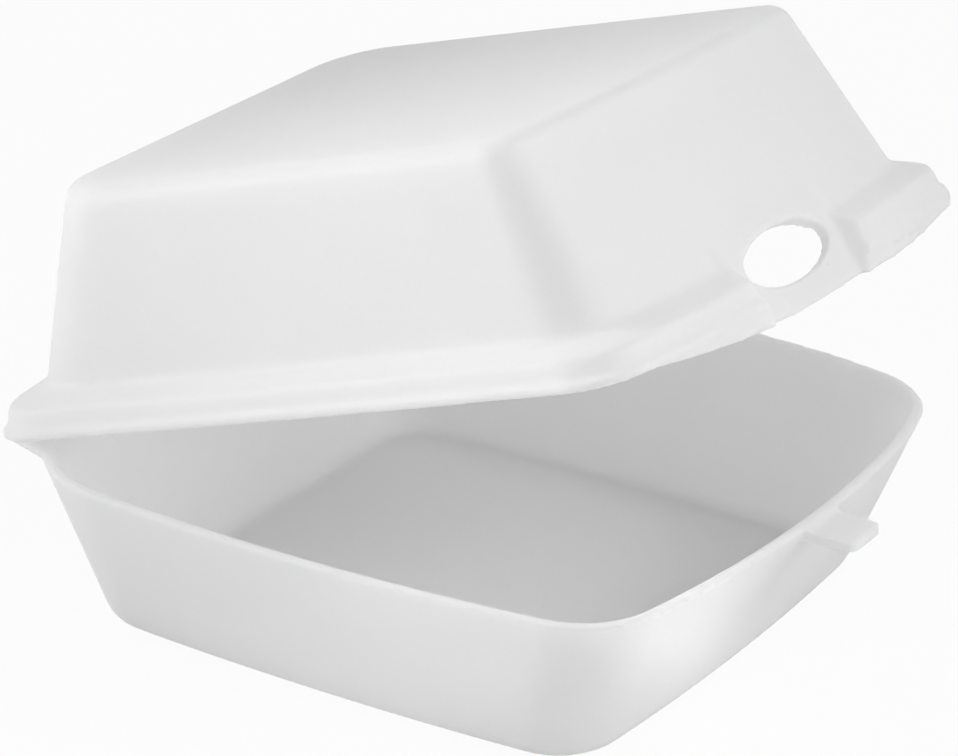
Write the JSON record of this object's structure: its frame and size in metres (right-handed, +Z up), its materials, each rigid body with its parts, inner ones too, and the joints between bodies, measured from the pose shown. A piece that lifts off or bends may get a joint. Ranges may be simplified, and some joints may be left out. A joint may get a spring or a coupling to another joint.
{
  "type": "foam clamshell container",
  "caption": "Hinged-lid takeaway box in white foam: tapered tray with a lock tongue, deep lid with a stepped rim and an oval lock hole.",
  "frame": {"origin": "middle of the flat underside of the tray, on the table", "axes": "+Z up, front with the lock tongue towards -Y, hinge crease along X at the back"},
  "size_m": [0.1306, 0.1512, 0.1085],
  "materials": {
    "foam": "satin foam skin"
  },
  "bodies": {
    "base": {"base_tray": "foam", "hinge_web": "foam"},
    "lid": {"lid": "foam"}
  },
  "joints": [
    {"name": "lid_hinge", "type": "hinge", "parent": "base", "child": "lid", "pos_m": [0, 0.071, 0.0336], "axis": [-1, 0, 0], "range_deg": [-16.3, 143.5], "stiffness_Nm_per_rad": 0.01, "springref_deg": 14.32, "deforming": ["hinge_web"]}
  ]
}
